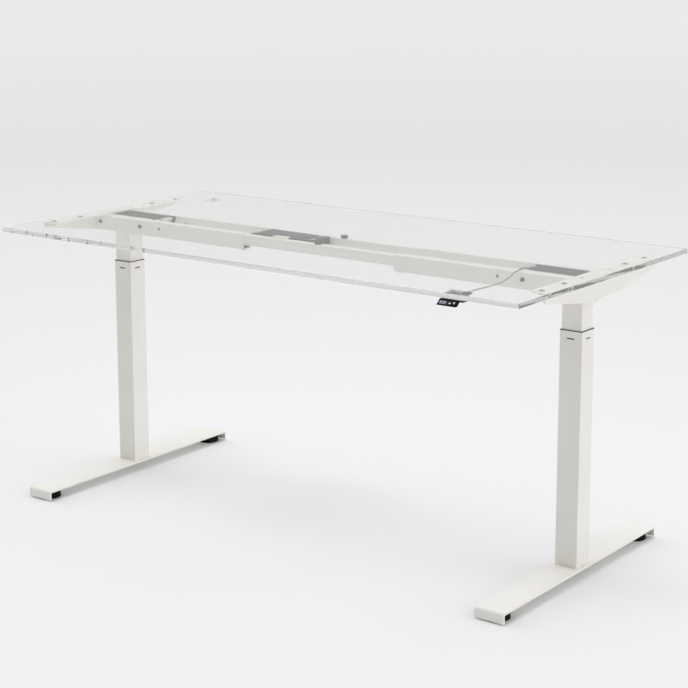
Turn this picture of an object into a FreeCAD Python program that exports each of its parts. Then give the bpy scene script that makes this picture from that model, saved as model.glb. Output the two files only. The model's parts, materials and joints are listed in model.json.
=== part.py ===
"""Height-adjustable desk driven by two square linear-actuator columns.

Frame: origin on the floor under the centre of the desktop, +X to the right along the long side,
+Y to the back, +Z up. Millimetres. The desk stands at its 745 mm working height.
"""

import FreeCAD, Part

import math
import os
from types import SimpleNamespace

import Sketcher

CELLS = {
    # desktop
    "desk_height": 745, "top_length": 1600, "top_depth": 800, "top_thickness": 12, "top_corner": 4,
    "grommet_bore": 50, "grommet_out": 660, "grommet_back": 292,
    # the whole frame sits a little in front of the desktop's centre line
    "frame_shift": 5, "column_offset": 720,
    # columns: the outer tube stands on the foot, the inner tube slides in it
    "outer_side": 60, "outer_wall": 1.5, "outer_foot": 28, "outer_head": 605, "inner_side": 54,
    "inner_wall": 2, "inner_foot": 98, "tube_corner": 3, "running_gap": 0.3, "base_plate": 8,
    "clip_drop": 18, "clip_width": 20, "clip_height": 3, "notch_width": 8, "notch_height": 3,
    # feet: flat plate with both ends folded down, levelling glides near the ends
    "foot_length": 724, "foot_width": 78, "foot_plate": 5, "foot_drop": 24.4, "foot_shift": 12,
    "foot_bend": 6, "glide_inset": 36, "glide_radius": 30, "glide_height": 18, "stud_radius": 5,
    "bush_radius": 12, "bush_gap": 0.5, "column_screw_pitch": 18, "column_screw_radius": 4,
    # screw drive
    "spindle_radius": 8, "journal_radius": 5, "bearing_gap": 0.05, "bearing_radius": 16,
    "bearing_height": 10, "spindle_foot": 100, "nut_foot": 545, "nut_height": 30, "nut_radius": 17,
    "nut_tube_radius": 14, "nut_tube_wall": 2, "plug_height": 30, "worm_level": 709,
    "worm_offset": 20.5, "worm_radius": 4.8, "worm_shaft_radius": 3, "wheel_radius": 15.3,
    "wheel_width": 10, "motor_radius": 15.5,
    # rails along the desk: outer tubes at both ends, a slimmer one nested inside them
    "rail_gap": 82, "rail_width": 28, "rail_height": 40, "rail_wall": 2, "rail_drop": 5,
    "rail_mouth": 241, "rail_end": 780, "slide_fit": 0.2, "mid_rail_height": 26,
    "mid_rail_length": 800, "hole_drop": 17, "accessory_out": 541, "accessory_radius": 4,
    "bolt_near": 611, "bolt_far": 761, "bolt_ear": 586, "bolt_under": 655, "clamp_near": 252,
    "clamp_far": 336, "bumper_radius": 9, "bumper_out": 4,
    # side brackets under the desktop and the drive heads between the rails
    "bracket_thickness": 4, "bracket_in": 744, "bracket_out": 784, "bracket_half": 260,
    "top_screw_radius": 4, "tapped_depth": 8, "tie_radius": 3,
    "bracket_hole_out": 765, "bracket_hole_radius": 4.5, "bracket_depth": 48, "bracket_tip": 16,
    "tray_sheet": 2.5, "tray_in": 594, "cover_in": 594, "cover_drop": 1.5, "cover_out": 778, "cover_sheet": 2,
    # control box between the middle rails
    "box_left": -232, "box_right": -38, "box_foot": 699, "box_wall": 2, "lid_thickness": 3.5,
    # handset under the front edge
    "handset_left": 588.5, "handset_right": 638.5, "handset_front": -399.5, "handset_back": -331,
    "handset_lean": 14, "handset_face": 12, "handset_wall": 8, "handset_deck": 3,
    "handset_pad": 5.5, "handset_pad_radius": 7, "handset_ear": 12, "key_travel": 0.7,
    # handset lead
    "lead_radius": 1.6,
}

LEAD_ROUTE = [  # from the handset's back, sagging, over the front rail and into its plug
    (625.5, -323.0, 726.0), (624.6, -302.0, 725.9), (621.5, -276.0, 724.8), (617.0, -238.0, 721.5),
    (609.5, -192.0, 718.6), (605.0, -148.0, 718.4), (600.5, -112.0, 723.2), (596.0, -82.0, 730.0),
    (591.5, -38.0, 731.0), (586.5, -14.0, 726.5), (585.0, 6.0, 724.0),
]

doc = FreeCAD.newDocument("LiftingDesk")


# ---------------------------------------------------------------- sizes that carry their formula
def number(value):
    return value.number if isinstance(value, Size) else float(value)


def formula(value):
    return value.text if isinstance(value, Size) else repr(float(value))


class Size:
    """A length that knows both its number and the spreadsheet formula it comes from."""

    def __init__(self, value, text):
        self.number, self.text = value, text

    def __add__(self, other):
        return Size(self.number + number(other), f"({self.text} + {formula(other)})")

    def __radd__(self, other):
        return Size(number(other) + self.number, f"({formula(other)} + {self.text})")

    def __sub__(self, other):
        return Size(self.number - number(other), f"({self.text} - {formula(other)})")

    def __rsub__(self, other):
        return Size(number(other) - self.number, f"({formula(other)} - {self.text})")

    def __mul__(self, other):
        return Size(self.number * number(other), f"({self.text} * {formula(other)})")

    __rmul__ = __mul__

    def __truediv__(self, other):
        return Size(self.number / number(other), f"({self.text} / {formula(other)})")

    def __neg__(self):
        return Size(-self.number, f"(-1 * {self.text})")


def fill_sheet():
    sheet = doc.addObject("Spreadsheet::Sheet", "Sizes")
    for row, (name, value) in enumerate(CELLS.items(), start=1):
        sheet.set(f"A{row}", name)
        sheet.set(f"B{row}", str(value))
        sheet.setAlias(f"B{row}", name)
    doc.recompute()
    return SimpleNamespace(**{name: Size(float(v), f"Sizes.{name}") for name, v in CELLS.items()})


S = fill_sheet()


# ---------------------------------------------------------------- drawing helpers
def bind(item, prop, size):
    setattr(item, prop, number(size))
    if isinstance(size, Size):
        item.setExpression(prop, size.text)


def put(item, x=0, y=0, z=0, turn=None):
    """Places an object, its position bound to the sheet."""
    base = FreeCAD.Vector(number(x), number(y), number(z))
    item.Placement = FreeCAD.Placement(base, turn or FreeCAD.Rotation())
    for letter, size in zip("xyz", (x, y, z)):
        if isinstance(size, Size):
            item.setExpression(f".Placement.Base.{letter}", size.text)
    return item


def side_span(side, low, high):
    """The span from low to high on the right side, or its mirror image on the left."""
    return (low, high) if side > 0 else (-high, -low)


def both(centre, half):
    """The span of that half width about a centre."""
    return (centre - half, centre + half)


def block(name, x, y, z):
    box = doc.addObject("Part::Box", name)
    for prop, (low, high) in zip(("Length", "Width", "Height"), (x, y, z)):
        bind(box, prop, high - low)
    return put(box, x[0], y[0], z[0])


def rod(name, axis, centre, radius, span):
    """A cylinder along an axis. centre is its two other coordinates, in X, Y, Z order."""
    made = doc.addObject("Part::Cylinder", name)
    bind(made, "Radius", radius)
    bind(made, "Height", span[1] - span[0])
    first, second = centre
    if axis == "x":
        return put(made, span[0], first, second, FreeCAD.Rotation(FreeCAD.Vector(0, 1, 0), 90))
    if axis == "y":
        return put(made, first, span[0], second, FreeCAD.Rotation(FreeCAD.Vector(1, 0, 0), -90))
    return put(made, first, second, span[0])


def fuse(name, parts):
    made = doc.addObject("Part::MultiFuse", name)
    made.Shapes = parts
    made.Refine = True
    return made


def cut(name, base, tools):
    made = doc.addObject("Part::Cut", name)
    made.Base = base
    made.Tool = tools[0] if len(tools) == 1 else fuse(name + "_tools", tools)
    made.Refine = True
    return made


def group(name, parts):
    """Identical loose pieces that share one node."""
    made = doc.addObject("Part::Compound", name)
    made.Links = parts
    return made


def body(name):
    made = doc.addObject("PartDesign::Body", name)
    made.Label = name
    return made


def rectangle(u, v):
    return [(u[0], v[0]), (u[1], v[0]), (u[1], v[1]), (u[0], v[1])]


def pin(drawn, piece, point, u, v):
    """Ties a sketch point to its place from the sketch's origin."""
    for kind, size in (("DistanceX", u), ("DistanceY", v)):
        place = Sketcher.Constraint(kind, -1, 1, piece, point, number(size))
        index = drawn.addConstraint(place)
        if isinstance(size, Size):
            drawn.setExpression(f"Constraints[{index}]", size.text)


def draw_polygon(drawn, corners):
    first, count = drawn.GeometryCount, len(corners)
    points = [FreeCAD.Vector(number(u), number(v), 0) for u, v in corners]
    for i in range(count):
        drawn.addGeometry(Part.LineSegment(points[i], points[(i + 1) % count]), False)
    for i in range(count):
        following = first + (i + 1) % count
        drawn.addConstraint(Sketcher.Constraint("Coincident", first + i, 2, following, 1))
    for i, (u, v) in enumerate(corners):
        pin(drawn, first + i, 1, u, v)


def draw_circle(drawn, circle):
    u, v, radius = circle
    centre = FreeCAD.Vector(number(u), number(v), 0)
    piece = drawn.addGeometry(Part.Circle(centre, FreeCAD.Vector(0, 0, 1), number(radius)), False)
    pin(drawn, piece, 3, u, v)
    index = drawn.addConstraint(Sketcher.Constraint("Radius", piece, number(radius)))
    if isinstance(radius, Size):
        drawn.setExpression(f"Constraints[{index}]", radius.text)


def sketch(made, plane, loops, level):
    """A sketch on the body's own origin plane, moved along its normal. A loop is a list of
    corners, or a circle as (u, v, radius)."""
    drawn = made.newObject("Sketcher::SketchObject", made.Name + "_sketch")
    origin = next(f for f in made.Origin.OriginFeatures if f.Role == plane)
    drawn.AttachmentSupport = [(origin, "")]
    drawn.MapMode = "FlatFace"
    drawn.AttachmentOffset = FreeCAD.Placement(
        FreeCAD.Vector(0, 0, number(level)), FreeCAD.Rotation())
    if isinstance(level, Size):
        drawn.setExpression(".AttachmentOffset.Base.z", level.text)
    for loop in loops:
        if isinstance(loop, tuple):
            draw_circle(drawn, loop)
        else:
            draw_polygon(drawn, loop)
    return drawn


def along_normal(plane, span):
    """A span along the sketch normal, which points to -Y on the XZ plane."""
    return (-span[1], -span[0]) if plane == "XZ_Plane" else span


def pad(made, plane, loops, span):
    """Adds material between the two levels of span."""
    low, high = along_normal(plane, span)
    added = made.newObject("PartDesign::Pad", made.Name + "_pad")
    added.Profile = sketch(made, plane, loops, low)
    bind(added, "Length", high - low)
    return added


def pocket(made, plane, loops, span):
    """Removes material between the two levels of span."""
    low, high = along_normal(plane, span)
    removed = made.newObject("PartDesign::Pocket", made.Name + "_pocket")
    removed.Profile = sketch(made, plane, loops, high)
    removed.Type = "Length"
    bind(removed, "Length", high - low)
    return removed


def round_edges(made, radius, wanted):
    """Fillets the edges whose middle point satisfies wanted(point)."""
    doc.recompute()
    tip = made.Tip
    names = [f"Edge{i}" for i, edge in enumerate(tip.Shape.Edges, start=1)
             if wanted(edge.CenterOfMass)]
    rounded = made.newObject("PartDesign::Fillet", made.Name + "_fillet")
    rounded.Base = (tip, names)
    bind(rounded, "Radius", radius)
    return rounded


def near(value, target):
    return abs(abs(value) - number(target)) < 0.01


def socket_screw(name, axis, centre, seat, way, head, shank):
    """A socket-head screw. seat is the plane under its head, way (+1 or -1) points from the seat
    to the screw's end, head and shank are (radius, length)."""
    end = seat + way * shank[1]
    top = seat - way * head[1]
    key_depth = head[1] * 0.55
    key = doc.addObject("Part::Prism", name + "_key")
    key.Polygon = 6
    key.Circumradius = number(head[0]) * 0.45
    key.Height = number(key_depth)
    low = number(top) if way > 0 else number(top) - number(key_depth)
    first, second = centre
    turns = {"x": FreeCAD.Rotation(FreeCAD.Vector(0, 1, 0), 90),
             "y": FreeCAD.Rotation(FreeCAD.Vector(1, 0, 0), -90), "z": None}
    spots = {"x": (low, first, second), "y": (first, low, second), "z": (first, second, low)}
    put(key, *spots[axis], turns[axis])
    head_span = (top, seat) if way > 0 else (seat, top)
    shank_span = (seat, end) if way > 0 else (end, seat)
    solid = fuse(name + "_blank", [rod(name + "_head", axis, centre, head[0], head_span),
                                   rod(name + "_shank", axis, centre, shank[0], shank_span)])
    return cut(name, solid, [key])


# ---------------------------------------------------------------- shared levels and places
SIDES = {"left": -1, "right": 1}
RAILS = {"front": -1, "back": 1}
DEEP = 400.0  # longer than any wall that a through pocket has to cross

middle = -S.frame_shift
under_top = S.desk_height - S.top_thickness
rail_top = under_top - S.rail_drop
rail_foot = rail_top - S.rail_height
hole_level = rail_top - S.hole_drop
head_top = under_top - S.bracket_thickness
rail_centre = S.rail_gap / 2 + S.rail_width / 2
foot_top = S.outer_foot
plate_under = foot_top - S.foot_plate
tray_half = S.rail_gap / 2


def column_x(side):
    return side * S.column_offset


# ---------------------------------------------------------------- feet
def foot(name, side):
    """Flat plate with both ends folded down, glide bushes welded under it."""
    made = body(name)
    half, sheet = S.foot_length / 2, S.foot_plate
    low = foot_top - S.foot_drop
    section = [(-half, low), (-half, foot_top), (half, foot_top), (half, low),
               (half - sheet, low), (half - sheet, plate_under),
               (-half + sheet, plate_under), (-half + sheet, low)]
    pad(made, "YZ_Plane", [section], both(0, S.foot_width / 2))
    round_edges(made, S.foot_bend, lambda p: near(p.y, half) and near(p.z, foot_top))
    bush_foot = S.glide_height + S.bush_gap
    glide_y = half - S.glide_inset
    for end in (-1, 1):
        pad(made, "XY_Plane", [(0, end * glide_y, S.bush_radius)], (bush_foot, plate_under))
    for end in (-1, 1):
        bore = (0, end * glide_y, S.stud_radius + S.bearing_gap)
        pocket(made, "XY_Plane", [bore], (bush_foot, foot_top - 2.5))
    shift = S.foot_shift - S.frame_shift
    holes = [(sx * S.column_screw_pitch, shift + sy * S.column_screw_pitch,
              S.column_screw_radius + 0.5) for sx in (-1, 1) for sy in (-1, 1)]
    pocket(made, "XY_Plane", holes, (plate_under, foot_top))
    return put(made, column_x(side), -S.foot_shift)


def glide(name, side, end):
    """Levelling glide: a round pad turned with its threaded stud."""
    made = body(name)
    radius, height, stud = S.glide_radius, S.glide_height, S.stud_radius
    stud_top = foot_top - 3
    profile = [(0, 0), (radius - 2, 0), (radius, 2), (radius, height - 5), (radius - 4, height - 1),
               (stud + 4, height), (stud, height), (stud, stud_top - 1), (stud - 1, stud_top),
               (0, stud_top)]
    turned = made.newObject("PartDesign::Revolution", name + "_turned")
    drawn = sketch(made, "XZ_Plane", [profile], 0)
    turned.Profile = drawn
    turned.ReferenceAxis = (drawn, ["V_Axis"])
    turned.Angle = 360
    reach = S.foot_length / 2 - S.glide_inset
    return put(made, column_x(side), end * reach - S.foot_shift)


# ---------------------------------------------------------------- columns
def square(half):
    return rectangle((-half, half), (-half, half))


def outer_tube(name, side):
    """Lower column tube with its welded base plate and the slots of the guide collar's clips."""
    made = body(name)
    half = S.outer_side / 2
    bore = half - S.outer_wall
    pad(made, "XY_Plane", [square(half), square(bore)], (S.outer_foot, S.outer_head))
    round_edges(made, S.tube_corner,
                lambda p: near(p.x, half) and near(p.y, half))
    pad(made, "XY_Plane", [square(half - S.outer_wall / 2)],
        (S.outer_foot, S.outer_foot + S.base_plate))
    clip = S.outer_head - S.clip_drop
    slot = rectangle(both(0, S.clip_width / 2), both(clip, S.clip_height / 2))
    notch = rectangle(both(0, S.notch_width / 2), (S.outer_foot, S.outer_foot + S.notch_height))
    for plane in ("XZ_Plane", "YZ_Plane"):
        pocket(made, plane, [slot], both(0, half))
        for way in (-1, 1):
            edge = (bore, half) if way > 0 else (-half, -bore)
            pocket(made, plane, [notch], edge)
    pitch = S.column_screw_pitch
    threads = [(sx * pitch, sy * pitch, S.column_screw_radius) for sx in (-1, 1) for sy in (-1, 1)]
    pocket(made, "XY_Plane", threads, (S.outer_foot, S.outer_foot + S.base_plate))
    return put(made, column_x(side), middle)


def guide_collar(name, side):
    """Plastic guide ring clipped in the mouth of the outer tube, with a thin lip over its rim."""
    made = body(name)
    bore = S.inner_side / 2 + S.running_gap
    inside = S.outer_side / 2 - S.outer_wall
    lip = 1.6
    pad(made, "XY_Plane", [square(inside), square(bore)], (S.outer_head - 40, S.outer_head))
    pad(made, "XY_Plane", [square(inside + 1), square(bore)], (S.outer_head, S.outer_head + lip))
    level = both(S.outer_head - S.clip_drop, S.clip_height / 2 - 0.2)
    tab = rectangle(both(0, S.clip_width / 2 - 0.3), level)
    for plane in ("XZ_Plane", "YZ_Plane"):
        for way in (-1, 1):
            face = (inside - 0.5, inside + S.outer_wall - 0.3)
            pad(made, plane, [tab], face if way > 0 else (-face[1], -face[0]))
    return put(made, column_x(side), middle)


def inner_tube(name, side):
    made = body(name)
    half = S.inner_side / 2
    pad(made, "XY_Plane", [square(half), square(half - S.inner_wall)], (S.inner_foot, rail_foot + 2))
    round_edges(made, S.tube_corner - 0.5, lambda p: near(p.x, half) and near(p.y, half))
    return put(made, column_x(side), middle)


def slide_shoe(name, side):
    """Plastic shoe pressed on the inner tube's lower end."""
    made = body(name)
    outside = S.outer_side / 2 - S.outer_wall - S.running_gap
    half = S.inner_side / 2
    foot_level = S.inner_foot - 6
    pad(made, "XY_Plane", [square(outside), square(half - S.inner_wall - 1)],
        (foot_level, S.inner_foot))
    pad(made, "XY_Plane", [square(outside), square(half)], (S.inner_foot, S.inner_foot + 30))
    return put(made, column_x(side), middle)


def head_plug(name, side):
    """Aluminium block in the top of the inner tube that carries the spindle's bearing."""
    made = body(name)
    half = S.inner_side / 2 - S.inner_wall
    top = rail_foot + 2
    seat = top - S.bearing_height
    pad(made, "XY_Plane", [square(half)], (top - S.plug_height, top))
    pocket(made, "XY_Plane", [(0, 0, S.spindle_radius + 0.5)], (top - S.plug_height, top))
    pocket(made, "XY_Plane", [(0, 0, S.bearing_radius)], (seat, top))
    return put(made, column_x(side), middle)


def thrust_bearing(name, side):
    top = rail_foot + 2
    span = (top - S.bearing_height, top)
    centre = (column_x(side), middle)
    ring = rod(name + "_ring", "z", centre, S.bearing_radius - S.bearing_gap, span)
    hole = rod(name + "_hole", "z", centre, S.spindle_radius + S.bearing_gap, span)
    return cut(name, ring, [hole])


# ---------------------------------------------------------------- screw drive
def spindle(name, side):
    """Lead screw: threaded length, a flange that rests on the bearing and a journal above it."""
    made = body(name)
    flange_foot = rail_foot + 2 + 0.2
    journal_top = S.worm_level + 9
    pad(made, "XY_Plane", [(0, 0, S.spindle_radius)], (S.spindle_foot, flange_foot))
    pad(made, "XY_Plane", [(0, 0, S.bearing_radius - 3)], (flange_foot, flange_foot + 4))
    pad(made, "XY_Plane", [(0, 0, S.journal_radius)], (flange_foot + 4, journal_top))
    return put(made, column_x(side), middle)


def worm_wheel(name, side):
    """Worm wheel on the spindle's journal, its tooth gaps cut round the rim."""
    made = body(name)
    level = both(S.worm_level, S.wheel_width / 2)
    rim = S.wheel_radius
    pad(made, "XY_Plane", [(0, 0, rim), (0, 0, S.journal_radius + 0.01)], level)
    gap = pocket(made, "XY_Plane", [rectangle((rim - 2, rim + 1), (-0.9, 0.9))], level)
    teeth = made.newObject("PartDesign::PolarPattern", name + "_teeth")
    teeth.Originals = [gap]
    axis = next(f for f in made.Origin.OriginFeatures if f.Role == "Z_Axis")
    teeth.Axis = (axis, [""])
    teeth.Angle = 360
    teeth.Occurrences = 24
    made.Tip = teeth
    return put(made, column_x(side), middle)


def worm_shaft(name, side):
    """Motor shaft with its worm, lying beside the wheel."""
    centre = (middle + S.worm_offset, S.worm_level)
    column = S.column_offset
    shaft = rod(name + "_shaft", "x", centre, S.worm_shaft_radius,
                side_span(side, column - 58, column + 29))
    worm = rod(name + "_worm", "x", centre, S.worm_radius,
               side_span(side, column - 14, column + 14))
    return fuse(name, [shaft, worm])


def spindle_nut(name, side):
    """Flanged nut on top of its tube, which stands on the base plate."""
    centre = (column_x(side), middle)
    spigot = S.nut_tube_radius - S.nut_tube_wall
    top = S.nut_foot + S.nut_height
    outside = fuse(name + "_blank", [
        rod(name + "_flange", "z", centre, S.nut_radius, (S.nut_foot, top)),
        rod(name + "_spigot", "z", centre, spigot, (S.nut_foot - 12, S.nut_foot))])
    bore = rod(name + "_bore", "z", centre, S.spindle_radius + S.bearing_gap,
               (S.nut_foot - 13, top + 1))
    return cut(name, outside, [bore])


def nut_tube(name, side):
    centre = (column_x(side), middle)
    span = (S.outer_foot + S.base_plate, S.nut_foot)
    wall = rod(name + "_wall", "z", centre, S.nut_tube_radius, span)
    bore = rod(name + "_bore", "z", centre, S.nut_tube_radius - S.nut_tube_wall, span)
    return cut(name, wall, [bore])


def foot_screw(name, side, sx, sy):
    centre = (column_x(side) + sx * S.column_screw_pitch, middle + sy * S.column_screw_pitch)
    return socket_screw(name, "z", centre, plate_under, 1, (6.5, 4.5),
                        (S.column_screw_radius - S.bearing_gap, S.foot_plate + S.base_plate))


# ---------------------------------------------------------------- drive heads
def head_tray(name, side):
    """Folded channel between the rails, closed at its inner end, that holds gearbox and motor."""
    made = body(name)
    half, sheet = tray_half, S.tray_sheet
    floor_level = rail_foot + 2
    channel = [(-half, floor_level), (-half, head_top), (-half + sheet, head_top),
               (-half + sheet, floor_level + sheet), (half - sheet, floor_level + sheet),
               (half - sheet, head_top), (half, head_top), (half, floor_level)]
    pad(made, "YZ_Plane", [channel], side_span(side, S.tray_in, S.rail_end))
    cover_under = head_top - S.cover_drop - S.cover_sheet
    end_wall = rectangle((-half, half), (floor_level, cover_under - 0.1))
    pad(made, "YZ_Plane", [end_wall], side_span(side, S.tray_in, S.tray_in + sheet))
    ear = rectangle((half - sheet, half), both(hole_level, 10))
    pad(made, "YZ_Plane", [ear], side_span(side, S.tray_in - 22, S.tray_in))
    centre = side * S.column_offset
    pocket(made, "XY_Plane", [(centre, 0, S.bearing_radius + 1)],
           (floor_level, floor_level + sheet))
    for way in (-1, 1):
        wall = (half - sheet, half) if way > 0 else (-half, sheet - half)
        holes = [(side * out, hole_level, 3.25) for out in (S.bolt_near, S.bolt_far)]
        pocket(made, "XZ_Plane", holes, wall)
    pocket(made, "XZ_Plane", [(side * S.bolt_ear, hole_level, 3.25)], (half - sheet, half))
    return put(made, 0, middle)


def gearbox(name, side):
    """Housing of the worm gear: wheel chamber, worm chamber, shaft and spindle holes."""
    column, shaft_y, level = S.column_offset, middle + S.worm_offset, S.worm_level
    floor_level = rail_foot + 2 + S.tray_sheet
    lid_level = head_top - S.cover_sheet - 4
    case = block(name + "_case", side_span(side, column - 30, column + 32),
                 (middle - 26, middle + 36), (floor_level, lid_level))
    centre = (column_x(side), middle)
    worm = (shaft_y, level)
    tools = [
        rod(name + "_wheel_room", "z", centre, S.wheel_radius + 2, both(level, 8)),
        rod(name + "_flange_room", "z", centre, S.bearing_radius - 2, (floor_level - 1, level - 7)),
        rod(name + "_worm_room", "x", worm, S.worm_radius + 1.5,
            side_span(side, column - 24, column + 24)),
        rod(name + "_shaft_hole", "x", worm, S.worm_shaft_radius + 0.5,
            side_span(side, column - 31, column - 23)),
        rod(name + "_shaft_seat", "x", worm, S.worm_shaft_radius + S.bearing_gap,
            side_span(side, column + 23, column + 30)),
        rod(name + "_journal_seat", "z", centre, S.journal_radius + S.bearing_gap,
            (level + 7, level + 10)),
    ]
    return cut(name, case, tools)


def motor(name, side):
    """Motor can with its mounting flange; its shaft runs in a blind bore."""
    column = S.column_offset
    centre = (middle + S.worm_offset, S.worm_level)
    can = rod(name + "_can", "x", centre, S.motor_radius, side_span(side, column - 94, column - 34))
    flange = rod(name + "_flange", "x", centre, S.motor_radius - 2,
                 side_span(side, column - 34, column - 30))
    boss = rod(name + "_boss", "x", centre, 5, side_span(side, column - 98, column - 94))
    bore = rod(name + "_bore", "x", centre, S.worm_shaft_radius + S.bearing_gap,
               side_span(side, column - 59, column - 29))
    return cut(name, fuse(name + "_blank", [can, flange, boss]), [bore])


def motor_cover(name, side):
    """Dark lid over the drive head, skirted on three sides and open over the tray's end wall."""
    made = body(name)
    half = tray_half - S.tray_sheet - 0.3
    sheet = S.cover_sheet
    top = head_top - S.cover_drop
    outside = side_span(side, S.cover_in, S.cover_out)
    pad(made, "XY_Plane", [rectangle(outside, (-half, half))], (top - 6, top))
    round_edges(made, 2, lambda p: near(p.z, top))
    inside = (outside[0] + sheet, outside[1] - sheet)
    pocket(made, "XY_Plane", [rectangle(inside, (-half + sheet, half - sheet))],
           (top - 6, top - sheet))
    mouth = side_span(side, S.cover_in - 1, S.cover_in + S.tray_sheet + 0.2)
    pocket(made, "XY_Plane", [rectangle(mouth, both(0, half + 1))], (top - 7, top - sheet))
    return put(made, 0, middle)


def motor_socket(name, side):
    """Socket block at the inner end of the drive head."""
    span = side_span(side, S.cover_in - 17, S.cover_in)
    shell = block(name + "_shell", span, (22, 33.2), (717, 727.5))
    mouth_x = (span[0] + 3, span[1] - 3)
    mouth = block(name + "_mouth", mouth_x, (21, 30), (719.5, 725.5))
    return cut(name, shell, [mouth])


def drive_plug(name, side, x, y, z):
    """Pale moulded plug with its latch, pushed in the socket block."""
    shell = block(name + "_shell", side_span(side, x[0], x[1]), y, z)
    latch = block(name + "_latch", side_span(side, x[0] + 4, x[1] - 4), (y[0] + 2, y[1] - 2),
                  (z[1], z[1] + 1.2))
    nose = block(name + "_nose", side_span(side, x[0] + 1.5, x[1] - 0.5), (y[1], y[1] + 6),
                 (z[0] + 0.8, z[0] + 6.2))
    return fuse(name, [shell, latch, nose])


# ---------------------------------------------------------------- brackets and rails
TOP_HOLES = (-240.0, -143.0, 143.0, 240.0)  # along a bracket, from its middle
TIE_HOLES = (-61.0, 61.0)                   # over the rails


def bracket(name, side):
    """Folded support under each end of the desktop: drilled flange and tapered outer web."""
    made = body(name)
    half, sheet = S.bracket_half, S.bracket_thickness
    low = head_top - S.bracket_depth
    tip = under_top - S.bracket_tip
    web = [(-half, under_top), (-half, tip), (-35.0, low), (-30.0, low), (12.0, low + 9.5),
           (88.0, low + 8.5), (half, tip), (half, under_top)]
    pad(made, "YZ_Plane", [web], side_span(side, S.bracket_out - sheet, S.bracket_out))
    holes = [(side * S.bracket_hole_out, y, S.bracket_hole_radius)
             for y in TOP_HOLES + TIE_HOLES]
    flange = rectangle(side_span(side, S.bracket_in, S.bracket_out - sheet), (-half, half))
    pad(made, "XY_Plane", [flange, *holes], (head_top, under_top))
    round_edges(made, 12, lambda p: near(p.x, S.bracket_in) and near(p.y, half))
    round_edges(made, 9, lambda p: near(p.y, half) and near(p.z, tip))
    return put(made, 0, middle)


def clamp_places(side):
    """Distances from the middle of a rail's clamp screws: two on the left, one on the right."""
    return (S.clamp_near, S.clamp_far) if side < 0 else (S.clamp_near,)


def outer_rail(name, side, row):
    """End section of a rail with its bolt, clamp and accessory holes."""
    made = body(name)
    width, wall = S.rail_width / 2, S.rail_wall
    outside = rectangle((-width, width), (rail_foot, rail_top))
    bore = rectangle((-width + wall, width - wall), (rail_foot + wall, rail_top - wall))
    pad(made, "YZ_Plane", [outside, bore], side_span(side, S.rail_mouth, S.rail_end))
    cross = [(side * out, hole_level, 3.25) for out in (S.bolt_near, S.bolt_far)]
    cross.append((side * S.accessory_out, hole_level, S.accessory_radius))
    if row > 0:
        cross.append((side * S.bolt_ear, hole_level, 3.25))
    pocket(made, "XZ_Plane", cross, both(0, width))
    below = [(side * out, 0, 3.25) for out in (*clamp_places(side), S.bolt_under)]
    pocket(made, "XY_Plane", below, (rail_foot, rail_foot + wall))
    tie = (side * S.bracket_hole_out, row * (TIE_HOLES[1] - rail_centre), S.tie_radius + S.bearing_gap)
    pocket(made, "XY_Plane", [tie], (rail_top - wall, rail_top))
    return put(made, 0, middle + row * rail_centre)


def mid_rail(name, row):
    """Slimmer tube that slides in the two end sections and sets the frame's width."""
    made = body(name)
    width = S.rail_width / 2 - S.rail_wall - S.slide_fit
    top = rail_top - S.rail_wall
    foot_level = top - S.mid_rail_height
    wall = S.rail_wall
    outside = rectangle((-width, width), (foot_level, top))
    bore = rectangle((-width + wall, width - wall), (foot_level + wall, top - wall))
    pad(made, "YZ_Plane", [outside, bore], both(0, S.mid_rail_length / 2))
    return put(made, 0, middle + row * rail_centre)


def rail_guide(name, side, row):
    """Plastic shoe that fills the rail's mouth under the slimmer tube."""
    width = S.rail_width / 2 - S.rail_wall - S.slide_fit
    low = rail_foot + S.rail_wall
    high = rail_top - S.rail_wall - S.mid_rail_height
    y = both(middle + row * rail_centre, width)
    shoe = block(name + "_shoe", side_span(side, S.rail_mouth - 4, S.rail_mouth + 24), y, (low, high))
    hole = rod(name + "_hole", "z", (side * S.clamp_near, middle + row * rail_centre), 3.25,
               (low - 1, high + 1))
    return cut(name, shoe, [hole])


def clamp_screw(name, side, row, out):
    """Screw through the rail's underside that clamps the slimmer tube against its roof."""
    gap = S.rail_height - 2 * S.rail_wall - S.mid_rail_height
    return socket_screw(name, "z", (side * out, middle + row * rail_centre), rail_foot, 1, (5.0, 3.5),
                        (3.0, S.rail_wall + gap))


def frame_screws():
    """The rails' clamp screws and the cap screws that hold the drive heads between them."""
    made = [clamp_screw(f"clamp_{spot}_{row_name}_{side_name}", side, row, out)
            for side_name, side in SIDES.items() for row_name, row in RAILS.items()
            for spot, out in enumerate(clamp_places(side))]
    head = (5.0, 3.5)
    face = S.rail_gap / 2 + S.rail_width
    reach = S.rail_width + S.tray_sheet
    for side_name, side in SIDES.items():
        for row_name, row in RAILS.items():
            stem = f"rail_screw_{row_name}_{side_name}"
            for spot, out in (("near", S.bolt_near), ("far", S.bolt_far)):
                made.append(socket_screw(f"{stem}_{spot}", "y", (side * out, hole_level),
                                         middle + row * face, -row, head, (3.0, reach)))
            made.append(socket_screw(f"{stem}_under", "z",
                                     (side * S.bolt_under, middle + row * rail_centre),
                                     rail_foot, 1, head, (3.0, 10)))
        inner_face = middle + S.rail_gap / 2 - S.tray_sheet
        made.append(socket_screw(f"rail_screw_ear_{side_name}", "y", (side * S.bolt_ear, hole_level),
                                 inner_face, 1, head, (3.0, S.tray_sheet + 8)))
    return group("frame_screws", made)


def top_screw(name, side, y):
    """Button-head screw from under the bracket's flange into the desktop's tapped hole."""
    spot = (side * S.bracket_hole_out, middle + y)
    return socket_screw(name, "z", spot, head_top, 1, (7, 3.8),
                        (S.top_screw_radius, S.bracket_thickness + S.tapped_depth))


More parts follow.
